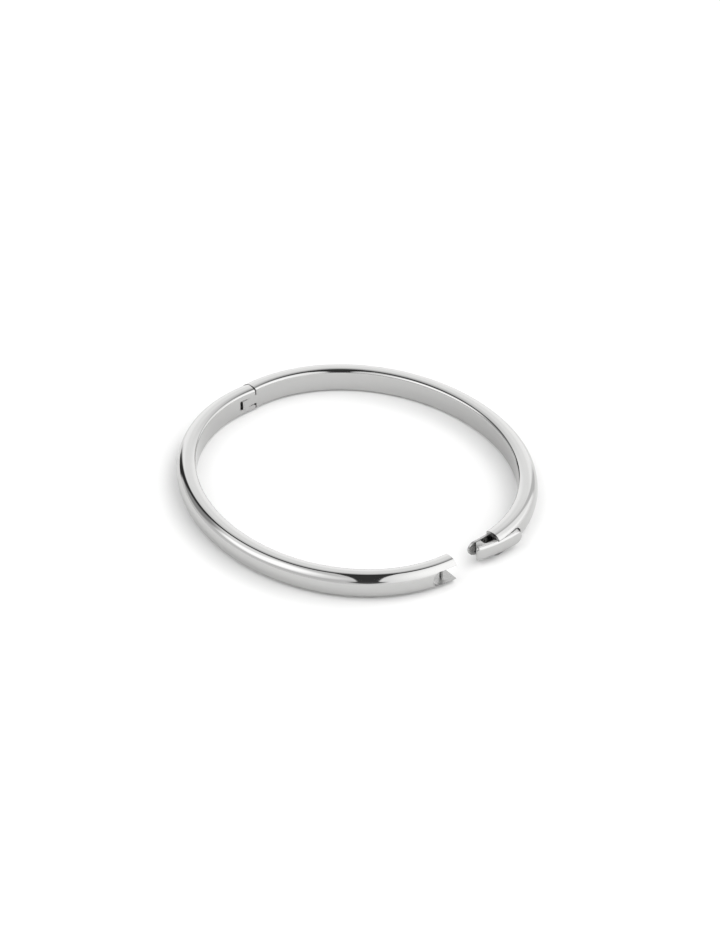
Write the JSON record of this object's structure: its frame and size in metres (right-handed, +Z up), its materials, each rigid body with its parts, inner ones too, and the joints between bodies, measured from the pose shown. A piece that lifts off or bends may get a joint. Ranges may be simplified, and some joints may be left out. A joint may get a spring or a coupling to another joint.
{
  "type": "hinged bangle bracelet",
  "caption": "Slim oval bangle in polished silver-tone metal, hinged on one side, with a lever snap clasp on the other, stored slightly open",
  "frame": {"origin": "centre of the stored bangle's footprint, on the surface it lies on", "axes": "+X runs from the hinge to the clasp along the long axis, +Z is up out of the table, +Y is towards the half with the lever"},
  "size_m": [0.0648, 0.0608, 0.0046],
  "materials": {
    "polished_band": "mirror polished, silver tone",
    "clasp_steel": "finely brushed",
    "pin_steel": "turned and polished",
    "spring_steel": "bright rolled"
  },
  "bodies": {
    "lever_side": {"lever_half": "polished_band", "clasp_tongue": "clasp_steel", "lever_pivot_pin": "pin_steel", "lever_spring": "spring_steel"},
    "socket_side": {"socket_half": "polished_band", "catch_pin": "pin_steel", "hinge_pin": "pin_steel"},
    "lever": {"lever_cover": "polished_band", "lever_hook": "clasp_steel"}
  },
  "joints": [
    {"name": "bangle_hinge", "type": "hinge", "parent": "lever_side", "child": "socket_side", "pos_m": [-0.031, 0, 0.0023], "axis": [0, 0, -1], "range_deg": [-9, 35]},
    {"name": "lever_pivot", "type": "hinge", "parent": "lever_side", "child": "lever", "pos_m": [0.03085, 0.00552, 0.0023], "axis": [0, 0, 1], "range_deg": [0, 21], "stiffness_Nm_per_rad": 0.002, "springref_deg": -5.73}
  ]
}
